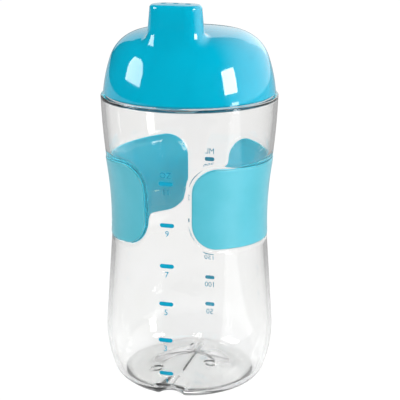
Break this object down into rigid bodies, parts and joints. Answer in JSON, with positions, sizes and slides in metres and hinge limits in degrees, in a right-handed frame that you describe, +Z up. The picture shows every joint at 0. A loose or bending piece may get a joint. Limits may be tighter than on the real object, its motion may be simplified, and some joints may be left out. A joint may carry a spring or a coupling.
{
  "type": "sippy cup",
  "caption": "Child's clear sippy cup with a bulged foot and waist, soft side grips, and a domed screw lid with a hard spout over two silicone valves.",
  "frame": {"origin": "centre of the foot, on the surface that the cup stands on", "axes": "+Z up along the cup's axis, -Y towards the spout and the ounce scale, +X through the right grip"},
  "size_m": [0.0766, 0.0766, 0.17],
  "materials": {
    "clear_plastic": "clear moulded copolyester, polished inside and out",
    "soft_grip": "satin soft-touch elastomer",
    "lid_plastic": "glossy moulded polypropylene",
    "silicone": "translucent silicone with a matt bloom",
    "carrier_plastic": "white moulded polypropylene",
    "scale_ink": "printed ink, slightly raised"
  },
  "bodies": {
    "cup": {"cup_body": "clear_plastic", "right_grip": "soft_grip", "left_grip": "soft_grip"},
    "seal": {"lid_seal": "silicone"},
    "lid": {"lid": "lid_plastic"},
    "valve_carrier": {"valve_carrier": "carrier_plastic"},
    "drinking_valve": {"drinking_valve": "silicone"},
    "vent_valve": {"vent_valve": "silicone"}
  },
  "joints": [
    {"name": "lid_lift", "type": "slide", "parent": "cup", "child": "seal", "axis": [0, 0, 1], "range_m": [0, 0.0076]},
    {"name": "lid_turn", "type": "hinge", "parent": "seal", "child": "lid", "pos_m": [0, 0, 0.1294], "axis": [0, 0, 1], "range_deg": [0, 450]},
    {"name": "carrier_pull", "type": "slide", "parent": "lid", "child": "valve_carrier", "axis": [0, 0, -1], "range_m": [0, 0.012]},
    {"name": "drinking_valve_pull", "type": "slide", "parent": "valve_carrier", "child": "drinking_valve", "axis": [0, 0, -1], "range_m": [0, 0.008]},
    {"name": "vent_valve_pull", "type": "slide", "parent": "valve_carrier", "child": "vent_valve", "axis": [0, 0, -1], "range_m": [0, 0.008]}
  ],
  "couplings": [
    {"joint": "lid_lift", "follows": "lid_turn", "m_per_rad": 0.00095493}
  ]
}
